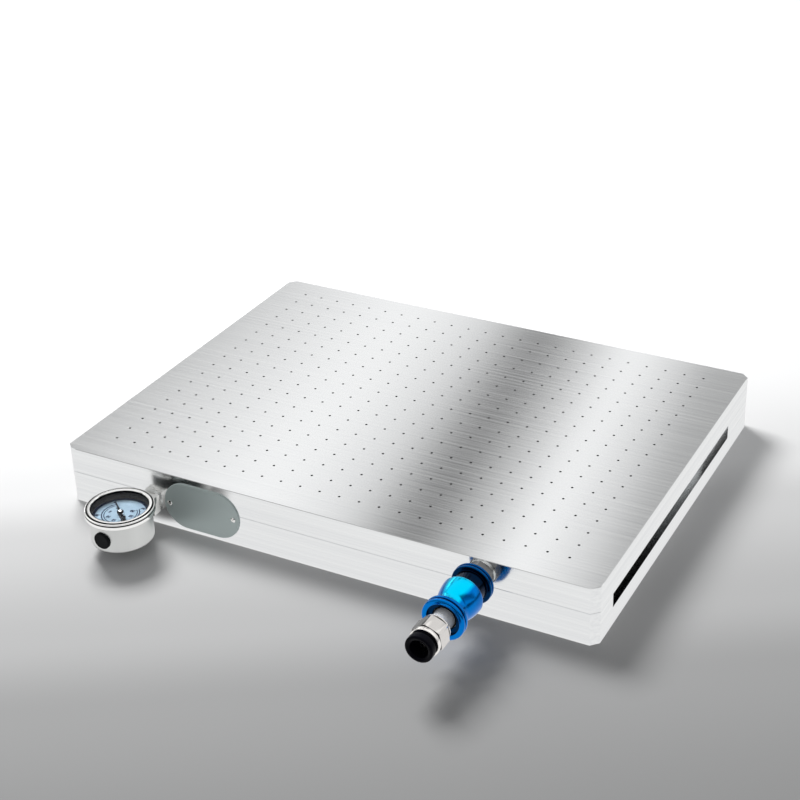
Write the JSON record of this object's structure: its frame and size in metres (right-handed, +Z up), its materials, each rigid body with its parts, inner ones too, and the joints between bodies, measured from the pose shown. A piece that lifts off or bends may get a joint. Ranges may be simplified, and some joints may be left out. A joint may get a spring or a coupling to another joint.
{
  "type": "vacuum table",
  "caption": "Flat vacuum table: drilled aluminium work plate on a side-slotted base, with a hand slide valve, push-in tube fitting and small dial gauge on the front.",
  "frame": {"origin": "centre of the underside of the base plate", "axes": "+X along the long side, to the right seen from the front; +Y to the back; +Z up, out of the work face"},
  "size_m": [0.4, 0.385, 0.0474],
  "materials": {
    "plate_metal": "milled and brushed, clear",
    "seal_rubber": "matte",
    "screw_steel": "dark",
    "small_screw_steel": "turned",
    "oval_sheet": "satin grey-green",
    "washer_metal": "satin",
    "spindle_metal": "bright nickel",
    "sleeve_blue": "blue anodised, satin",
    "fitting_metal": "nickel plated",
    "grip_steel": "spring steel",
    "bush_brass": "turned",
    "collar_plastic": "black, satin",
    "stem_metal": "bright nickel",
    "case_steel": "satin",
    "bezel_steel": "polished",
    "window_glass": "clear",
    "dial_paint": "pale blue-white, printed scale",
    "plug_rubber": "matte",
    "pointer_paint": "black",
    "movement_brass": "plain"
  },
  "bodies": {
    "table": {"base_plate": "plate_metal", "top_plate": "plate_metal", "seal_cord": "seal_rubber", "assembly_screws": "screw_steel", "oval_plate": "oval_sheet", "oval_plate_screws": "small_screw_steel", "valve_washer": "washer_metal", "valve_spindle": "spindle_metal", "valve_seals": "seal_rubber", "fitting_body": "fitting_metal", "fitting_seal": "seal_rubber", "grip_ring": "grip_steel", "collar_bush": "bush_brass", "gauge_washer": "washer_metal", "gauge_stem": "stem_metal", "gauge_case": "case_steel", "gauge_bezel": "bezel_steel", "gauge_window": "window_glass", "window_gasket": "seal_rubber", "gauge_dial": "dial_paint", "dial_screws": "small_screw_steel", "fill_plug": "plug_rubber", "pressure_tube": "movement_brass", "tube_tip": "movement_brass", "movement_lower_plate": "movement_brass", "movement_upper_plate": "movement_brass", "movement_pillars": "movement_brass"},
    "sleeve": {"valve_sleeve": "sleeve_blue"},
    "collar": {"release_collar": "collar_plastic"},
    "sector": {"sector_gear": "movement_brass", "sector_arbor": "small_screw_steel", "pull_link": "movement_brass"},
    "pointer": {"gauge_pointer": "pointer_paint", "pointer_arbor": "small_screw_steel"}
  },
  "joints": [
    {"name": "valve_slide", "type": "slide", "parent": "table", "child": "sleeve", "axis": [0, -1, 0], "range_m": [0, 0.008]},
    {"name": "collar_push", "type": "slide", "parent": "table", "child": "collar", "axis": [0, 1, 0], "range_m": [0, 0.0012], "stiffness_N_per_m": 800},
    {"name": "sector_turn", "type": "hinge", "parent": "table", "child": "sector", "pos_m": [-0.13477, -0.17765, 0.0219], "axis": [0, 0, -1], "range_deg": [0, 38.57], "stiffness_Nm_per_rad": 0.001},
    {"name": "pointer_turn", "type": "hinge", "parent": "table", "child": "pointer", "pos_m": [-0.1286, -0.185, 0.0286], "axis": [0, 0, 1], "range_deg": [0, 270]}
  ],
  "couplings": [
    {"joint": "pointer_turn", "follows": "sector_turn", "ratio": 7}
  ]
}
